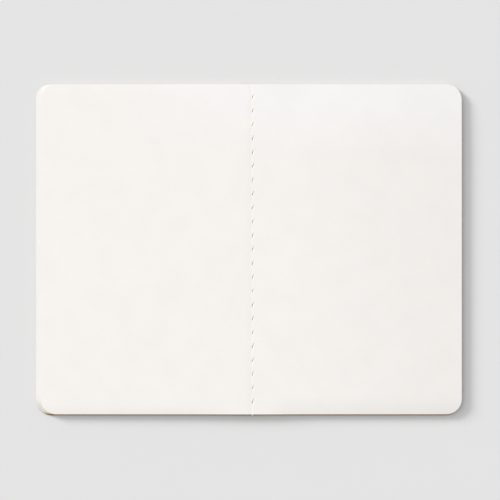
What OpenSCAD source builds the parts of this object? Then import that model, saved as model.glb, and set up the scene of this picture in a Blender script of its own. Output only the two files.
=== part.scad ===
// Thread-sewn pocket sketchbook, lying open and flat at its centre spread.
// X runs across the spread, Y runs up the spine to the head, and Z is up from the table.
// The origin is the middle of the open book's footprint, on the table.
// Sheet 01 is the innermost folded sheet and the last sheet lies against the cover.

/* [Cover] */
// Width of the closed cover, spine to fore edge
cover_w = 90; // [80:1:120]
// Height of the cover, tail to head
cover_h = 140; // [110:1:180]
// Thickness of the kraft card
cover_t = 0.45; // [0.35:0.05:0.55]
// Radius of the outer corners of the cover and the leaves
corner_r = 6.5; // [3:0.5:10]

/* [Paper] */
// Number of folded sheets, each of which makes two leaves
sheets = 12; // [6:1:12]
// Thickness of the drawing paper
paper_t = 0.15; // [0.12:0.01:0.15]
// Clearance between two leaves that lie on each other
leaf_gap = 0.04; // [0.03:0.01:0.05]
// How far the cover stands past the leaves at the tail
tail_margin = 0.6; // [0.3:0.1:1.5]
// How far the cover stands past the right-hand leaves
right_margin = 0.1; // [0.1:0.1:1]
// How far the innermost left leaf lies inside the outermost one
left_fan = 2.3; // [1:0.1:3]

/* [Sewing] */
// Number of stitch holes along the fold
stitches = 23; // [15:1:23]
// Distance from one stitch hole to the next
stitch_pitch = 5.85; // [4:0.05:5.9]
// Distance from the head to the first stitch hole
first_stitch = 5.7; // [4:0.1:6]
// Diameter of the sewing thread
thread_d = 0.34; // [0.25:0.01:0.36]
// Diameter of a needle hole
hole_d = 0.9; // [0.8:0.05:1]
// Sideways shift of the innermost fold from the spine's middle
fold_shift = 1.6; // [1:0.1:1.7]

/* [Hidden] */
// Outer surfaces of the cover and the leaves
head_y = cover_h / 2;
leaf_tail_y = tail_margin - cover_h / 2;
leaf_right_x = cover_w - right_margin;

// Half width of the spine strip of the cover and the inner ends of the pieces beside it
spine_half = 2;
hinge_gap = 0.05;
leaf_in_left = -spine_half;
leaf_in_right = 2.6;

// The spine strip is arched off the table, so that the outside thread has room under it
spine_z = 0.38;
spine_top = spine_z + cover_t;

// Heights of the stacked leaves and folds, and of the thread that lies on the innermost fold
leaf_pitch = paper_t + leaf_gap;
fold_top = spine_top + sheets * paper_t;
inside_z = fold_top + thread_d / 2;
outside_z = spine_z - thread_d / 2;

function sheet_name(i) = str("sheet_", i < 10 ? "0" : "", i);
function leaf_z(i) = cover_t + leaf_gap + (sheets - i) * leaf_pitch;
function fold_z(i) = spine_top + (sheets - i) * paper_t;
function stitch_y(k) = head_y - first_stitch - k * stitch_pitch;
// The needle went in at a slant, so a hole's place across the fold follows its height
function needle_x(z) = fold_shift * (z - outside_z) / (inside_z - outside_z);
function left_edge(i) = -cover_w + left_fan * (sheets - i) / (sheets - 1);

SHEETS = [for (i = [1:sheets]) i];

kraft = [0.70, 0.58, 0.44];
kraft_fold = [0.66, 0.54, 0.41];
paper = [0.965, 0.955, 0.935];
paper_fold = [0.95, 0.935, 0.905];
thread_white = [0.98, 0.97, 0.95];

// Flat panel from inner_x to outer_x with its two outer corners rounded
module panel(inner_x, outer_x, tail_y, z, t) {
    side = sign(outer_x);
    straight_x = outer_x - side * corner_r;
    height = head_y - tail_y;
    translate([0, 0, z]) linear_extrude(t) {
        translate([min(inner_x, straight_x), tail_y])
            square([abs(straight_x - inner_x), height]);
        translate([min(inner_x, outer_x), tail_y + corner_r])
            square([abs(outer_x - inner_x), height - 2 * corner_r]);
        for (y = [tail_y + corner_r, head_y - corner_r])
            translate([straight_x, y]) circle(corner_r, $fn = 96);
    }
}

// Row of needle holes through a strip that lies between z and z + t
module needle_holes(z, t) {
    for (k = [0:stitches - 1])
        translate([needle_x(z + t / 2), stitch_y(k), z - t])
            cylinder(d = hole_d, h = 3 * t, $fn = 24);
}

// Strip of card or paper along the spine, with its needle holes
module sewn_strip(x0, x1, tail_y, z, t) {
    difference() {
        translate([x0, tail_y, z]) cube([x1 - x0, head_y - tail_y, t]);
        needle_holes(z, t);
    }
}

// Thread along the spine at x, z, with a leg into each needle hole as far as the lock
module stitch_row(x, z) {
    lock_z = (inside_z + outside_z) / 2;
    lean = needle_x(lock_z) - x;
    leg = sqrt(lean * lean + (lock_z - z) * (lock_z - z));
    translate([x, -head_y, z]) rotate([-90, 0, 0])
        cylinder(d = thread_d, h = cover_h, $fn = 24);
    for (k = [0:stitches - 1])
        translate([x, stitch_y(k), z])
            rotate([0, atan2(lean, lock_z - z), 0])
                cylinder(d = thread_d, h = leg + thread_d / 2, $fn = 24);
}

module front_cover() {
    color(kraft) panel(-spine_half, -cover_w, -head_y, 0, cover_t);
}

module back_cover() {
    color(kraft) panel(spine_half, cover_w, -head_y, 0, cover_t);
}

module cover_spine() {
    color(kraft_fold) sewn_strip(hinge_gap - spine_half, spine_half, -head_y, spine_z, cover_t);
}

module left_leaf(i) {
    color(paper) panel(leaf_in_left, left_edge(i), leaf_tail_y, leaf_z(i), paper_t);
}

module fold(i) {
    color(paper_fold)
        sewn_strip(leaf_in_left + hinge_gap, leaf_in_right - hinge_gap, leaf_tail_y, fold_z(i), paper_t);
}

module right_leaf(i) {
    color(paper) panel(leaf_in_right, leaf_right_x, leaf_tail_y, leaf_z(i), paper_t);
}

module inside_thread() {
    color(thread_white) stitch_row(fold_shift, inside_z);
}

module outside_thread() {
    color(thread_white) stitch_row(0, outside_z);
}

front_cover();
back_cover();
cover_spine();
for (i = SHEETS) {
    left_leaf(i);
    fold(i);
    right_leaf(i);
}
inside_thread();
outside_thread();
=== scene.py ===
import math

import bpy
import numpy as np
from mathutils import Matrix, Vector


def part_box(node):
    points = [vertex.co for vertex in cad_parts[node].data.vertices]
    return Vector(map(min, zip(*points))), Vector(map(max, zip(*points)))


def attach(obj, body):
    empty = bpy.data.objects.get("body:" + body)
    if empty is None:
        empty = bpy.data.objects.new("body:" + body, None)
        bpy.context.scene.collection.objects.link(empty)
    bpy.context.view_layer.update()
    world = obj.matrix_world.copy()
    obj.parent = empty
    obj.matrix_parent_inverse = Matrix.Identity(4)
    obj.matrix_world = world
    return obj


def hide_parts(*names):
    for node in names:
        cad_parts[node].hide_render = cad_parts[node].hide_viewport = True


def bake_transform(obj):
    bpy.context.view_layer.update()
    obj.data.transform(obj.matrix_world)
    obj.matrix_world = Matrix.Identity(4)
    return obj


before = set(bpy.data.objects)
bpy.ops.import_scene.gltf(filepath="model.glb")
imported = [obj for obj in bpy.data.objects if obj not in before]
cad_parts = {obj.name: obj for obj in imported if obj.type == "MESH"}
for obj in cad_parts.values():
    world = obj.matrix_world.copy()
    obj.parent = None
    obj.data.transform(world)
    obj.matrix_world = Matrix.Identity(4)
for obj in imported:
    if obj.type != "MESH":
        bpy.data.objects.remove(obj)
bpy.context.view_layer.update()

# Looks of a thread-sewn pocket sketchbook that lies open on a table. Lengths are in metres, in the
# CAD frame: X runs across the spread, Y runs up the spine to the head, and Z is up from the table.
MM = 0.001

# ---------------------------------------------------------------- sizes
SHEETS = sum(name.endswith("_fold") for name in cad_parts)
# The frame gives boxes and joints. The corners and the stitches repeat the CAD's numbers, and the
# paper is thinner than its 0.15 mm, to leave room between the sheets where they droop.
CORNER_R = 6.5 * MM
PAPER_T = 0.13 * MM
STITCHES = 23
STITCH_PITCH = 5.85 * MM
FIRST_STITCH = 5.7 * MM


def sheet_name(k):
    return f"sheet_{k:02d}"


LEAF_LO, LEAF_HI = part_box("sheet_01_right_leaf")
COVER_LO, COVER_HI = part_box("back_cover")
COVER_T = COVER_HI.z - COVER_LO.z
SPINE_LO, SPINE_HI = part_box("cover_spine")
THREAD_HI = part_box("inside_thread")[1]
THREAD_R = SPINE_LO.z / 2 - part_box("outside_thread")[0].z / 2
HEAD_Y, TAIL_Y = LEAF_HI.y, LEAF_LO.y
INSIDE_X = THREAD_HI.x - THREAD_R
INSIDE_Z = THREAD_HI.z - THREAD_R
OUTSIDE_Z = SPINE_LO.z - THREAD_R
PAGE_Z = LEAF_HI.z

# How far the folded middle of a sheet reaches on each side of its needle holes
CREASE_HALF = 1.0 * MM
# The folds take up the room between the arched spine and the level of the top page
FOLD_PITCH = (PAGE_Z - SPINE_HI.z) / SHEETS
SPINE_HALF = COVER_LO.x
ARCH_REACH = 6.0 * MM
ARCH_FLAT_SHARE = 0.6


def stitch_y(n):
    return HEAD_Y - FIRST_STITCH - n * STITCH_PITCH


def smooth(t):
    t = np.clip(t, 0.0, 1.0)
    return t * t * (3 - 2 * t)


def needle_x(z):
    """The needle went in at a slant, from the outside thread to the inside thread."""
    return INSIDE_X * (z - OUTSIDE_Z) / (INSIDE_Z - OUTSIDE_Z)


def fold_mid_z(k):
    return SPINE_HI.z + (SHEETS - k + 0.5) * FOLD_PITCH


def crease_x(k):
    return INSIDE_X * needle_x(fold_mid_z(k)) / needle_x(fold_mid_z(1))


# ---------------------------------------------------------------- heights of the sheets
VALLEY_X = INSIDE_X - 0.15 * MM
VALLEY_DEPTH = 0.06 * MM
VALLEY_LEFT = 3.1 * MM
VALLEY_RIGHT = 0.35 * MM
TAIL_DROOP = {-1: 0.22 * MM, 1: 0.46 * MM}
TAIL_REACH = {-1: 4.0 * MM, 1: 7.5 * MM}
HEAD_DROOP = {-1: 0.06 * MM, 1: 0.36 * MM}
HEAD_REACH = {-1: 5.0 * MM, 1: 30.0 * MM}
FORE_DROOP = {-1: 0.34 * MM, 1: 0.18 * MM}
FORE_POWER = 2.5
FLAT_BY_FOLD = 3 * MM
FLAT_FADE = 25 * MM
RIPPLE = 0.02 * MM
RIPPLE_START = 5 * MM
RIPPLE_FADE = 20 * MM
# Radians for each metre along X and Y, and a phase, of the two waves that are multiplied
RIPPLE_WAVES = ((61, 23, 0.7), (-19, 47, 1.9))


def arch(x):
    """1 over the spine, falling to 0 where the book lies flat."""
    return smooth(1 - (np.abs(x) - SPINE_HALF * ARCH_FLAT_SHARE) / ARCH_REACH)


def valley(x):
    """Depth of the gutter, which the left page rolls into and the right page drops into."""
    left = np.clip(1 - (VALLEY_X - x) / VALLEY_LEFT, 0, 1) ** 2
    right = smooth(1 - (x - VALLEY_X) / VALLEY_RIGHT)
    return VALLEY_DEPTH * np.where(x < VALLEY_X, left, right)


def settle(x, y):
    """How far the top page sinks towards its edges. It grows smoothly from nothing at the fold."""
    total = 0.0
    for side in (-1, 1):
        away = smooth((side * (x - INSIDE_X) - FLAT_BY_FOLD) / FLAT_FADE)
        tail = np.clip(1 - (y - TAIL_Y) / TAIL_REACH[side], 0, 1) ** 2 * TAIL_DROOP[side]
        head = np.clip(1 - (HEAD_Y - y) / HEAD_REACH[side], 0, 1) ** 2 * HEAD_DROOP[side]
        fore = np.clip(side * (x - INSIDE_X) / COVER_HI.x, 0, 1) ** FORE_POWER * FORE_DROOP[side]
        total = total + away * (tail + head) + fore
    return total


def ripple(x, y):
    """Slow waves that damp air leaves in drawing paper. They only lower the page."""
    wave = 1.0
    for along_x, along_y, phase in RIPPLE_WAVES:
        wave = wave * np.sin(x * along_x + y * along_y + phase)
    away = smooth((np.abs(x - INSIDE_X) - RIPPLE_START) / RIPPLE_FADE)
    return RIPPLE * (1 - wave) * away


def sheet_mid_z(k, x, y):
    """Height of the middle of sheet k. Lower sheets keep more of the flat cover's shape."""
    leaf_lo, leaf_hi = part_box(f"{sheet_name(k)}_right_leaf")
    flat = (leaf_lo.z + leaf_hi.z) / 2
    share = (SHEETS - k) / (SHEETS - 1)
    rise = (fold_mid_z(k) - flat) * arch(x)
    return flat + rise - share * (valley(x) + settle(x, y) + ripple(x, y))


def cover_mid_z(x, y):
    return COVER_T / 2 + SPINE_LO.z * arch(x)


# ---------------------------------------------------------------- plans and solids
STEPS_PER_METRE = 1e7
SHARP_ANGLE = math.radians(40)


class Plan:
    """A flat mesh in X and Y. Points that fall on the same tenth of a micrometre are one point."""

    def __init__(self):
        self.points, self.faces, self._index = [], [], {}

    def point(self, x, y):
        key = (round(x * STEPS_PER_METRE), round(y * STEPS_PER_METRE))
        if key not in self._index:
            self._index[key] = len(self.points)
            self.points.append((x, y))
        return self._index[key]

    def face(self, corners):
        ring = [self.point(x, y) for x, y in corners]
        ring = [p for i, p in enumerate(ring) if p != ring[i - 1]]
        if len(ring) > 2:
            self.faces.append(ring)

    def grid(self, columns):
        """columns is a list of (x, [y, ...]) with rising x, each with as many rows."""
        for (x0, ys0), (x1, ys1) in zip(columns, columns[1:]):
            for j in range(len(ys0) - 1):
                self.face([(x0, ys0[j]), (x1, ys1[j]), (x1, ys1[j + 1]), (x0, ys0[j + 1])])


def solid(name, plan, mid_z, thickness, wall_material=0):
    """The plan as a closed sheet of that thickness, whose middle follows mid_z(x, y)."""
    xy = np.array(plan.points)
    z = mid_z(xy[:, 0], xy[:, 1])
    top = np.column_stack([xy, z + thickness / 2])
    bottom = np.column_stack([xy, z - thickness / 2])
    count = len(xy)
    faces = list(plan.faces) + [[p + count for p in reversed(f)] for f in plan.faces]
    used = {(f[i - 1], f[i]) for f in plan.faces for i in range(len(f))}
    rim = [(a, b) for a, b in used if (b, a) not in used]
    rim.sort()
    faces += [[b, a, a + count, b + count] for a, b in rim]
    mesh = bpy.data.meshes.new(name)
    mesh.from_pydata(np.vstack([top, bottom]).tolist(), [], faces)
    mesh.polygons.foreach_set("use_smooth", [True] * len(faces))
    walls = [0] * (len(faces) - len(rim)) + [wall_material] * len(rim)
    mesh.polygons.foreach_set("material_index", walls)
    mesh.set_sharp_from_angle(angle=SHARP_ANGLE)
    mesh.update()
    piece = bpy.data.objects.new(name, mesh)
    bpy.context.scene.collection.objects.link(piece)
    return piece


FINE_WIDTH = 1.6 * MM
MIDDLE_END = 12.0 * MM
FINE_COLUMNS, MIDDLE_COLUMNS, BROAD_COLUMNS = 20, 15, 20
MIDDLE_POWER = 1.6
CORNER_STEPS = 12


def panel_columns(x_in, x_out, rows, radius):
    """Columns from the fold to the outer edge, with the two outer corners rounded."""
    side = 1 if x_out > x_in else -1
    length = abs(x_out - x_in) - radius
    fine = list(np.linspace(0, FINE_WIDTH, FINE_COLUMNS, endpoint=False))
    growth = np.linspace(0, 1, MIDDLE_COLUMNS) ** MIDDLE_POWER
    middle = list(FINE_WIDTH + (MIDDLE_END - FINE_WIDTH) * growth)
    broad = list(np.linspace(MIDDLE_END, length, BROAD_COLUMNS))[1:]
    columns = [(x_in + side * d, rows) for d in fine + middle + broad]
    low, high = rows[0], rows[-1]
    for angle in np.linspace(0, math.pi / 2, CORNER_STEPS + 1)[1:]:
        inset = radius * (1 - math.cos(angle))
        scale = (high - low - 2 * inset) / (high - low)
        ys = [low + inset + (y - low) * scale for y in rows]
        columns.append((x_in + side * (length + radius * math.sin(angle)), ys))
    return columns if side > 0 else columns[::-1]


def even_rows(low, high, step):
    return list(np.linspace(low, high, max(2, round((high - low) / step)) + 1))


ROWS_PER_STITCH = 6


def sewn_rows(low, high):
    """Rows that meet the corners of the cells round the needle holes."""
    first = stitch_y(STITCHES - 1) - STITCH_PITCH / 2
    last = stitch_y(0) + STITCH_PITCH / 2
    step = STITCH_PITCH / ROWS_PER_STITCH
    rows = even_rows(low, first, step)[:-1]
    rows += list(np.linspace(first, last, STITCHES * ROWS_PER_STITCH + 1))
    return rows + even_rows(last, high, step)[1:]


# A needle hole in the top sheet is a slanted slot, a little off the thread's line
HOLE_HALF_W = 0.07 * MM
HOLE_HALF_L = 1.30 * MM
HOLE_SHIFT = 0.20 * MM
HOLE_RISE = 0.22 * MM
LOW_HOLE_SCALE = 1.6
# Columns on each side of the thread, rings round each hole, and the scale of the holes
TOP_STRIP = (7, 9, 1.0)
LOW_STRIP = (3, 3, LOW_HOLE_SCALE)
SPINE_STRIP = (5, 6, 1.0)
SPINE_COLUMNS = 9
STRIP_POWER = 1.8
RING_POWER = 1.7
RANDOM = np.random.default_rng(7)
HOLE_TILTS = np.radians(RANDOM.uniform(8, 18, STITCHES))
HOLE_LENGTHS = HOLE_HALF_L * RANDOM.uniform(0.82, 1.14, STITCHES)
HOLE_WIDTHS = HOLE_HALF_W * RANDOM.uniform(0.85, 1.2, STITCHES)
DIP_DEPTHS = RANDOM.uniform(0.15, 0.5, STITCHES)
# How much of EDGE_SPREAD each right leaf falls short at its outer edge. The top one doesn't.
EDGE_JITTER = RANDOM.uniform(0, 1, SHEETS + 1)
EDGE_JITTER[1] = 0


def nearest_stitch(y):
    return np.clip(np.round((stitch_y(0) - y) / STITCH_PITCH), 0, STITCHES - 1).astype(int)


def from_hole(x, y, cx):
    """Distance from the edge of the nearest needle hole, in metres. It is negative inside."""
    n = nearest_stitch(y)
    c, s = np.cos(HOLE_TILTS[n]), np.sin(HOLE_TILTS[n])
    dx, dy = x - cx - HOLE_SHIFT, y - stitch_y(n) - HOLE_RISE
    across, along = dx * c - dy * s, dx * s + dy * c
    size = np.hypot(across / HOLE_WIDTHS[n], along / HOLE_LENGTHS[n])
    return (1 - 1 / np.maximum(size, 1e-3)) * np.hypot(across, along)


def hole_point(cx, n, angle, scale):
    c, s = math.cos(HOLE_TILTS[n]), math.sin(HOLE_TILTS[n])
    across = scale * HOLE_WIDTHS[n] * math.cos(angle)
    along = scale * HOLE_LENGTHS[n] * math.sin(angle)
    x = cx + HOLE_SHIFT + across * c + along * s
    return x, stitch_y(n) + HOLE_RISE - across * s + along * c


def strip_columns(cx, half, per_side):
    """Places across a strip, closer together beside the thread."""
    steps = half * np.linspace(0, 1, per_side + 1)[1:] ** STRIP_POWER
    return np.concatenate([cx - steps[::-1], [cx], cx + steps])


def sewn_strip_plan(cx, half, low, high, per_side, rings, scale):
    """A strip along the spine with a slot at each stitch, as rings of faces round each slot."""
    plan = Plan()
    columns = strip_columns(cx, half, per_side)
    for n in range(STITCHES):
        cy = stitch_y(n)
        ys = np.linspace(cy - STITCH_PITCH / 2, cy + STITCH_PITCH / 2, ROWS_PER_STITCH + 1)
        edge = [(cx + half, y) for y in ys[:-1]] + [(x, ys[-1]) for x in columns[::-1][:-1]]
        edge += [(cx - half, y) for y in ys[::-1][:-1]] + [(x, ys[0]) for x in columns[:-1]]
        inner = []
        for x, y in edge:
            angle = math.atan2((y - cy) / (STITCH_PITCH / 2), (x - cx) / half)
            inner.append(hole_point(cx, n, angle, scale))
        steps = [(r / rings) ** RING_POWER for r in range(rings + 1)]
        for t0, t1 in zip(steps, steps[1:]):
            for i in range(len(edge)):
                j = (i + 1) % len(edge)
                corners = [(i, t0), (i, t1), (j, t1), (j, t0)]
                plan.face([
                    tuple(inner[a][d] + (edge[a][d] - inner[a][d]) * t for d in (0, 1))
                    for a, t in corners
                ])
    for y0, y1 in ((low, stitch_y(STITCHES - 1) - STITCH_PITCH / 2),
                   (stitch_y(0) + STITCH_PITCH / 2, high)):
        rows = even_rows(y0, y1, STITCH_PITCH / ROWS_PER_STITCH)
        plan.grid([(x, rows) for x in columns])
    return plan


RIM_HEIGHT = 0.045 * MM
RIM_HALF = 0.16 * MM
FUNNEL_DEPTH = 0.26 * MM
FUNNEL_WIDTH = 0.40 * MM


def crease_mid_z(k, x, y):
    """The fold of sheet k. The paper of the top sheet is pushed down into its holes."""
    z = sheet_mid_z(k, x, y)
    if k > 1:
        return z
    cx = crease_x(k)
    away = from_hole(x, y, cx)
    edge = smooth(1 - np.abs(x - cx) / CREASE_HALF)
    rim = RIM_HEIGHT * np.exp(-((away - FUNNEL_WIDTH) / RIM_HALF) ** 2) * edge
    funnel = FUNNEL_DEPTH * smooth(1 - away / FUNNEL_WIDTH)
    return z + rim - funnel


# ---------------------------------------------------------------- materials
class Nodes:
    """A short way to write a material's node tree."""

    def __init__(self, name, roughness, **sockets):
        self.material = bpy.data.materials.new(name)
        self.material.use_nodes = True
        self.tree = self.material.node_tree
        self.shader = self.tree.nodes["Principled BSDF"]
        self.shader.inputs["Roughness"].default_value = roughness
        for socket, value in sockets.items():
            self.shader.inputs[socket.replace("_", " ")].default_value = value
        self.place = self.tree.nodes.new("ShaderNodeTexCoord").outputs["Object"]

    def add(self, kind, inputs=(), **settings):
        node = self.tree.nodes.new(kind)
        for setting, value in settings.items():
            setattr(node, setting, value)
        for socket, value in dict(inputs).items():
            if hasattr(value, "is_output"):
                self.tree.links.new(value, node.inputs[socket])
            else:
                node.inputs[socket].default_value = value
        return node

    def along(self, axis, start, end):
        """0 at start and 1 at end along an axis of the book, with a smooth step between them."""
        split = self.add("ShaderNodeSeparateXYZ", {"Vector": self.place})
        inputs = {"Value": split.outputs[axis], "From Min": start, "From Max": end}
        return self.add("ShaderNodeMapRange", inputs, interpolation_type="SMOOTHSTEP").outputs["Result"]

    def times(self, a, b):
        node = self.add("ShaderNodeMath", {0: a, 1: b}, operation="MULTIPLY")
        return node.outputs[0]

    def tone(self, color, factor, tint):
        """The color times the tint where factor is 1, and as it was where factor is 0."""
        return self.mix(1.0, color, self.mix(factor, (1, 1, 1), tint), "MULTIPLY")

    def stretched(self, scale):
        return self.add("ShaderNodeMapping", {"Vector": self.place, "Scale": scale}).outputs[0]

    def noise(self, scale, detail=3, rough=0.55, place=None):
        inputs = {"Vector": place or self.place, "Scale": scale, "Detail": detail, "Roughness": rough}
        return self.add("ShaderNodeTexNoise", inputs).outputs["Fac"]

    def ramp(self, value, stops):
        node = self.add("ShaderNodeValToRGB", {"Fac": value})
        elements = node.color_ramp.elements
        while len(elements) < len(stops):
            elements.new(0.5)
        for element, (place, color) in zip(elements, stops):
            element.position = place
            element.color = (*color, 1)
        return node.outputs["Color"]

    def mix(self, factor, a, b, mode="MIX"):
        node = self.add("ShaderNodeMix", data_type="RGBA", blend_type=mode)
        for socket, value in (("Factor", factor), ("A", a), ("B", b)):
            slot = next(s for s in node.inputs if s.name == socket and s.enabled)
            if hasattr(value, "is_output"):
                self.tree.links.new(value, slot)
            else:
                slot.default_value = value if socket == "Factor" else (*value, 1)
        return next(s for s in node.outputs if s.enabled)

    def out(self, color, bump=None, strength=0.2, distance=0.05 * MM):
        self.tree.links.new(color, self.shader.inputs["Base Color"])
        if bump is not None:
            node = self.add("ShaderNodeBump",
                            {"Height": bump, "Strength": strength, "Distance": distance})
            self.tree.links.new(node.outputs["Normal"], self.shader.inputs["Normal"])
        return self.material


def shade(color, factor):
    return tuple(c * factor for c in color)


PAPER_COLOR = (0.920, 0.887, 0.857)
# Painted light: the paper is made lighter and cooler towards the head, most of all on the right page
PAINTED_HEAD_LIGHT = (1.015, 1.035, 1.060)
# Painted shade: the right page is made a little darker towards its outer edge
PAINTED_FORE_SHADE = (0.956, 0.958, 0.960)
# Painted shade: darker, less warm paper where the lower sheets fan out at the left edge
PAINTED_FAN_SHADE = (0.918, 0.934, 0.952)
# Painted shade: darker, browner paper towards the tail of the lower sheets, at their fanned corners
PAINTED_TAIL_SHADE = (0.755, 0.725, 0.645)
KRAFT_COLOR = (0.40, 0.275, 0.165)
THREAD_COLOR = (0.88, 0.85, 0.815)
# Cut page edges: darker than the faces, partly for the rough cut and partly as painted shade of the
# gaps between sheets
PAGE_EDGE_COLORS = ((0.56, 0.53, 0.49), (0.70, 0.67, 0.63))
# Painted shade: tan colours for the walls of the needle holes and the paper close round them
HOLE_SHADE_COLORS = ((0.82, 0.71, 0.58), (0.91, 0.83, 0.72))
# Where each painted light and painted shade starts and where it is complete
HEAD_TONE_Y = (36 * MM, 67 * MM)
HEAD_TONE_X = (-70 * MM, 20 * MM)
FORE_TONE_X = (5 * MM, 90 * MM)
FAN_TONE_X = (-87.0 * MM, -87.9 * MM)
TAIL_TONE_Y = (-60.5 * MM, -71.0 * MM)


def paper_material(name, painted_lower_shade):
    """Drawing paper. It is lighter and cooler towards the head, as painted light, and darker towards
    the right edge, as painted shade.
    The paper for the sheets under the top one also gets painted shade: darker where they fan out and
    browner at the tail."""
    n = Nodes(name, 0.82, Specular_IOR_Level=0.25)
    cloud = n.noise(90, 4)
    base = n.ramp(cloud, [(0.30, shade(PAPER_COLOR, 0.985)), (0.70, shade(PAPER_COLOR, 1.01))])
    fibres = n.noise(900, 5, 0.6, n.stretched((1, 2.6, 1)))
    fleck = n.ramp(fibres, [(0.30, (0.965, 0.955, 0.94)), (0.42, (1, 1, 1))])
    color = n.mix(1.0, base, fleck, "MULTIPLY")
    # Painted light: lighter and cooler towards the head
    head = n.times(n.along("Y", *HEAD_TONE_Y), n.along("X", *HEAD_TONE_X))
    color = n.tone(color, head, PAINTED_HEAD_LIGHT)
    # Painted shade: darker towards the right edge
    color = n.tone(color, n.along("X", *FORE_TONE_X), PAINTED_FORE_SHADE)
    # Painted shade on the sheets under the top one: darker where they fan out and browner towards the
    # tail
    if painted_lower_shade:
        color = n.tone(color, n.along("X", *FAN_TONE_X), PAINTED_FAN_SHADE)
        color = n.tone(color, n.along("Y", *TAIL_TONE_Y), PAINTED_TAIL_SHADE)
    tooth = n.noise(2600, 4, 0.65)
    return n.out(color, tooth, 0.25, 0.03 * MM)


def page_edge_material():
    """The cut edges of the sheets. They are darker than their faces, partly for the rougher cut
    and partly as painted shade for the gaps between the sheets.
    """
    n = Nodes("page_edge", 0.9, Specular_IOR_Level=0.1)
    layers = n.noise(1500, 4, 0.6, n.stretched((0.4, 0.4, 6)))
    dark, pale = PAGE_EDGE_COLORS
    return n.out(n.ramp(layers, [(0.35, dark), (0.65, pale)]), layers, 0.3)


def kraft_material():
    """Brown card with a fine mottle, long fibres along the spine and a few dark and pale ones."""
    n = Nodes("kraft_card", 0.86, Specular_IOR_Level=0.2)
    mottle = n.noise(260, 6, 0.65)
    base = n.ramp(mottle, [(0.3, shade(KRAFT_COLOR, 0.88)), (0.7, shade(KRAFT_COLOR, 1.12))])
    fibres = n.noise(1500, 6, 0.7, n.stretched((2.6, 0.5, 1)))
    grain = n.ramp(fibres, [(0.35, (0.84, 0.81, 0.78)), (0.6, (1.04, 1.04, 1.04))])
    dark = n.ramp(n.noise(900, 4, 0.6, n.stretched((3.0, 0.7, 1))),
                  [(0.30, (0.62, 0.55, 0.48)), (0.36, (1, 1, 1))])
    pale = n.ramp(n.noise(1100, 4, 0.6, n.stretched((0.9, 3.2, 1))),
                  [(0.66, (0, 0, 0)), (0.73, (0.6, 0.6, 0.6))])
    flecked = n.mix(1.0, n.mix(1.0, base, grain, "MULTIPLY"), dark, "MULTIPLY")
    color = n.mix(pale, flecked, shade(KRAFT_COLOR, 1.45))
    return n.out(color, fibres, 0.4, 0.04 * MM)


def needle_material():
    """The walls of the needle holes and the paper close round them, tan and darker as painted shade
    inside the holes.
    """
    n = Nodes("needle_hole", 0.9, Specular_IOR_Level=0.1)
    hole_mottle = n.noise(3000, 4)
    dark, pale = HOLE_SHADE_COLORS
    return n.out(n.ramp(hole_mottle, [(0.3, dark), (0.7, pale)]), hole_mottle, 0.3)


def thread_material():
    """Matt sewing thread with fine fibres along it."""
    n = Nodes("sewing_thread", 0.75, Sheen_Weight=0.25, Specular_IOR_Level=0.3)
    fibres = n.noise(5200, 5, 0.6, n.stretched((1, 0.35, 1)))
    color = n.ramp(fibres, [(0.35, shade(THREAD_COLOR, 0.86)), (0.65, shade(THREAD_COLOR, 1.04))])
    return n.out(color, fibres, 0.4, 0.03 * MM)


TOP_PAPER = paper_material("drawing_paper", False)
LOW_PAPER = paper_material("fanned_paper", True)
PAGE_EDGE = page_edge_material()
KRAFT = kraft_material()
NEEDLE = needle_material()
THREAD = thread_material()


def dress(piece, slot, *materials):
    for material in materials:
        piece.data.materials.append(material)


# ---------------------------------------------------------------- the pieces
LOW_CORNER_R = 5.5 * MM
EDGE_SPREAD = 0.10 * MM
LEAF_ROW = 2 * MM
COVER_ROW = 3 * MM


def make_leaf(k, side):
    """One leaf of sheet k, from the folded middle to its outer edge. It bends beside the fold."""
    word = "left" if side < 0 else "right"
    node = f"{sheet_name(k)}_{word}_leaf"
    lo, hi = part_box(node)
    x_in = crease_x(k) + side * CREASE_HALF
    x_out = lo.x if side < 0 else COVER_HI.x - EDGE_SPREAD * EDGE_JITTER[k]
    rows = sewn_rows(lo.y, hi.y) if k == 1 else even_rows(lo.y, hi.y, LEAF_ROW)
    plan = Plan()
    radius = CORNER_R + (LOW_CORNER_R - CORNER_R) * (k - 1) / (SHEETS - 1)
    plan.grid(panel_columns(x_in, x_out, rows, radius))
    leaf = solid(f"leaf_{word}_{k:02d}", plan, lambda x, y: sheet_mid_z(k, x, y), PAPER_T, 1)
    dress(leaf, "drawing_paper", TOP_PAPER if k == 1 else LOW_PAPER, PAGE_EDGE)
    if side < 0:
        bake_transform(leaf)
    else:
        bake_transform(leaf)
    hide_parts(node)


# How far from a needle hole the paper gets the painted hole shade
HOLE_SHADE_EDGE = 0.30 * MM


def make_crease(k):
    """The folded middle of sheet k."""
    node = f"{sheet_name(k)}_fold"
    cx = crease_x(k)
    strip = TOP_STRIP if k == 1 else LOW_STRIP
    plan = sewn_strip_plan(cx, CREASE_HALF, TAIL_Y, HEAD_Y, *strip)
    crease = solid(f"fold_{k:02d}", plan, lambda x, y: crease_mid_z(k, x, y), PAPER_T, 2)
    # Painted shade in and round the needle holes
    mark_painted_hole_shade(crease, cx)
    dress(crease, "drawing_paper", TOP_PAPER if k == 1 else LOW_PAPER, NEEDLE, PAGE_EDGE)
    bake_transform(crease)
    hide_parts(node)


def mark_painted_hole_shade(piece, cx):
    """Gives the second material, tan painted shade, to the walls of the needle holes and the paper
    close round them.
    """
    for face in piece.data.polygons:
        if from_hole(face.center.x, face.center.y, cx) < HOLE_SHADE_EDGE:
            face.material_index = 1


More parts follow.
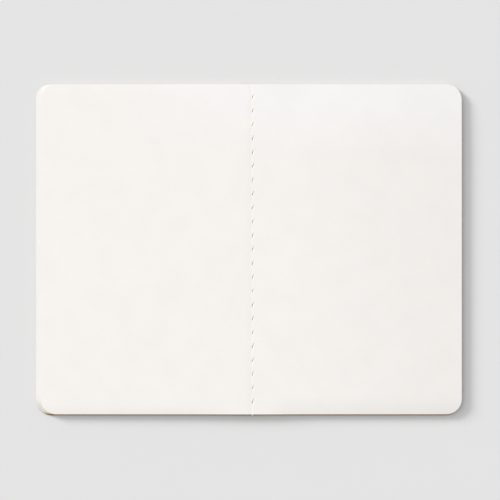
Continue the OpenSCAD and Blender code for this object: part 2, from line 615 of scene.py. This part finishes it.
def make_cover(side):
    node = "front_cover" if side < 0 else "back_cover"
    lo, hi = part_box(node)
    x_out = lo.x if side < 0 else hi.x
    plan = Plan()
    rows = even_rows(lo.y, hi.y, COVER_ROW)
    plan.grid(panel_columns(side * SPINE_HALF, x_out, rows, CORNER_R))
    cover = solid(f"{node}_card", plan, cover_mid_z, COVER_T)
    dress(cover, "kraft_card", KRAFT)
    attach(cover, "front_cover" if side < 0 else "binding")
    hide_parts(node)


def make_spine():
    """The creased middle of the cover, with the outer row of needle holes."""
    cx = needle_x(SPINE_LO.z)
    plan = sewn_strip_plan(cx, CREASE_HALF, COVER_LO.y, COVER_HI.y, *SPINE_STRIP)
    rows = sewn_rows(COVER_LO.y, COVER_HI.y)
    for x0, x1 in ((-SPINE_HALF, cx - CREASE_HALF), (cx + CREASE_HALF, SPINE_HALF)):
        plan.grid([(x, rows) for x in np.linspace(x0, x1, SPINE_COLUMNS)])
    spine = solid("cover_spine_card", plan, cover_mid_z, COVER_T)
    # Painted shade in and round the needle holes
    mark_painted_hole_shade(spine, cx)
    dress(spine, "kraft_card", KRAFT, NEEDLE)
    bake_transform(spine)
    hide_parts("cover_spine")


THREAD_STEP = 0.08 * MM
THREAD_SIDES = 12
PLIES = 3
TWIST_LENGTH = 1.15 * MM
PRESSED = 0.45
PLY_RIDGE = 0.10
BLUNT_END = 0.05
DIP_OUT = 0.95
DIP_IN = 0.15
SLANT = 0.5
TAIL_BEND = 0.12 * MM
TAIL_END = 0.62 * MM
TAIL_FLARE = 0.22
TAIL_LEAN = 0.24 * MM
HEAD_END = 0.1 * MM
TAIL_START = 0.2 * MM
TAIL_LENGTH = 0.75 * MM
INSIDE_SUNK, INSIDE_DEPTH = 0.12 * MM, 1.1 * MM
OUTSIDE_SUNK, OUTSIDE_DEPTH = 0.02 * MM, 0.6 * MM
FLARE_REACH = 1.0 * MM


def thread_path(surface_z, up, sunk, depth):
    """The thread's middle line along the fold. It dips into each slanted needle hole."""
    ys = np.arange(TAIL_Y - TAIL_END, HEAD_Y - HEAD_END, THREAD_STEP)
    nearest = nearest_stitch(ys)
    off = (ys - stitch_y(nearest) - HOLE_RISE) / HOLE_LENGTHS[nearest]
    dip = smooth((DIP_OUT - np.abs(off)) / (DIP_OUT - DIP_IN))
    level = surface_z(ys) + up * (THREAD_R * PRESSED - sunk)
    past = np.clip((TAIL_Y + TAIL_START - ys) / TAIL_LENGTH, 0, 1)
    drop = depth * DIP_DEPTHS[nearest] * dip
    zs = level - up * drop - up * TAIL_BEND * past ** 2
    xs = needle_x(level - up * SLANT * drop) + HOLE_SHIFT * dip + TAIL_LEAN * past ** 2
    return np.column_stack([xs, ys, zs])


def thread_tube(name, path):
    """A twisted tube with one ridge for each ply, rounded at both ends and thicker at the tail."""
    ahead = np.gradient(path, axis=0)
    ahead /= np.linalg.norm(ahead, axis=1)[:, None]
    side = np.cross(ahead, (0, 0, 1))
    side /= np.linalg.norm(side, axis=1)[:, None]
    over = np.cross(side, ahead)
    run = np.concatenate([[0], np.cumsum(np.linalg.norm(np.diff(path, axis=0), axis=1))])
    angles = np.linspace(0, 2 * math.pi, THREAD_SIDES, endpoint=False)
    end = np.minimum(run, run[-1] - run) / THREAD_R
    taper = np.sqrt(np.clip(1 - (1 - np.clip(end, BLUNT_END, 1)) ** 2, 0, 1))
    turn = 2 * math.pi * run / TWIST_LENGTH
    radius = THREAD_R * (1 - PLY_RIDGE + PLY_RIDGE * np.cos(PLIES * angles[None, :] - turn[:, None]))
    flare = 1 + TAIL_FLARE * smooth(1 - run / FLARE_REACH)
    radius = radius * (taper * flare)[:, None]
    ring = (side[:, None, :] * np.cos(angles)[None, :, None]
            + over[:, None, :] * PRESSED * np.sin(angles)[None, :, None])
    points = (path[:, None, :] + ring * radius[:, :, None]).reshape(-1, 3)
    count = len(path)
    faces = []
    for i in range(count - 1):
        for j in range(THREAD_SIDES):
            k = (j + 1) % THREAD_SIDES
            a, b = i * THREAD_SIDES, (i + 1) * THREAD_SIDES
            faces.append([a + j, b + j, b + k, a + k])
    faces.append(list(range(THREAD_SIDES)))
    faces.append([(count - 1) * THREAD_SIDES + j for j in reversed(range(THREAD_SIDES))])
    mesh = bpy.data.meshes.new(name)
    mesh.from_pydata(points.tolist(), [], faces)
    mesh.polygons.foreach_set("use_smooth", [True] * len(faces))
    mesh.update()
    piece = bpy.data.objects.new(name, mesh)
    bpy.context.scene.collection.objects.link(piece)
    return piece


def make_inside_thread():
    cx = crease_x(1)

    def page_z(y):
        return sheet_mid_z(1, np.full_like(y, cx), y) + PAPER_T / 2

    thread = thread_tube("thread_inside", thread_path(page_z, 1, INSIDE_SUNK, INSIDE_DEPTH))
    dress(thread, "sewing_thread", THREAD)
    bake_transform(thread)
    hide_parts("inside_thread")


def make_outside_thread():
    cx = needle_x(SPINE_LO.z)

    def spine_z(y):
        return cover_mid_z(np.full_like(y, cx), y) - COVER_T / 2

    thread = thread_tube("thread_outside", thread_path(spine_z, -1, OUTSIDE_SUNK, OUTSIDE_DEPTH))
    dress(thread, "sewing_thread", THREAD)
    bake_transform(thread)
    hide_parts("outside_thread")


for side in (-1, 1):
    make_cover(side)
    for k in range(1, SHEETS + 1):
        make_leaf(k, side)
for k in range(1, SHEETS + 1):
    make_crease(k)
make_spine()
make_inside_thread()
make_outside_thread()


# ---------------------------------------------------------------- floor, light and camera
FLOOR_COLOR = (0.775, 0.775, 0.775)
FLOOR_HALF = 30.0
LOW_KEY = dict(turn=146, height=20, size=9, share=0.32)
HIGH_KEY = dict(turn=140, height=46, size=24, share=0.21)
LIGHT_DISTANCE = 60.0
AMBIENT = 0.50
EXPOSURE = 1.015
LENS_MM = 100
SENSOR_MM = 36
VIEW_WIDTH = 211 * MM
VIEW_X = 0.61 * MM


def make_floor():
    mesh = bpy.data.meshes.new("floor")
    half = FLOOR_HALF
    corners = [(-half, -half, 0), (half, -half, 0), (half, half, 0), (-half, half, 0)]
    mesh.from_pydata(corners, [], [(0, 1, 2, 3)])
    floor = bpy.data.objects.new("floor", mesh)
    bpy.context.scene.collection.objects.link(floor)
    n = Nodes("floor", 0.9, Specular_IOR_Level=0.1)
    grain = n.noise(40, 2)
    tone = n.ramp(grain, [(0.3, shade(FLOOR_COLOR, 0.998)), (0.7, shade(FLOOR_COLOR, 1.002))])
    mesh.materials.append(n.out(tone))


def soft_light(name, turn, height, size, share):
    """A round lamp. share is its part of the light that falls on the floor, where 1 is white."""
    turn, height, size = (math.radians(v) for v in (turn, height, size))
    flat = math.cos(height)
    toward = Vector((math.cos(turn) * flat, math.sin(turn) * flat, math.sin(height)))
    data = bpy.data.lights.new(name, "AREA")
    data.shape = "DISK"
    data.size = 2 * LIGHT_DISTANCE * math.tan(size)
    data.energy = share * EXPOSURE * math.pi ** 2 * LIGHT_DISTANCE ** 2 / math.sin(height)
    light = bpy.data.objects.new(name, data)
    light.location = toward * LIGHT_DISTANCE
    light.rotation_euler = toward.to_track_quat("Z", "Y").to_euler()
    bpy.context.scene.collection.objects.link(light)


def make_light():
    soft_light("low_key", **LOW_KEY)
    soft_light("high_key", **HIGH_KEY)
    world = bpy.data.worlds.new("studio")
    world.use_nodes = True
    world.node_tree.nodes["Background"].inputs["Color"].default_value = (1, 1, 1, 1)
    world.node_tree.nodes["Background"].inputs["Strength"].default_value = AMBIENT * EXPOSURE
    bpy.context.scene.world = world


def make_camera():
    data = bpy.data.cameras.new("camera")
    data.lens = LENS_MM
    data.sensor_width = SENSOR_MM
    camera = bpy.data.objects.new("camera", data)
    camera.location = (VIEW_X, 0, PAGE_Z + VIEW_WIDTH * LENS_MM / SENSOR_MM)
    bpy.context.scene.collection.objects.link(camera)
    bpy.context.scene.camera = camera


make_floor()
make_light()
make_camera()
bpy.context.scene.view_settings.view_transform = "Standard"
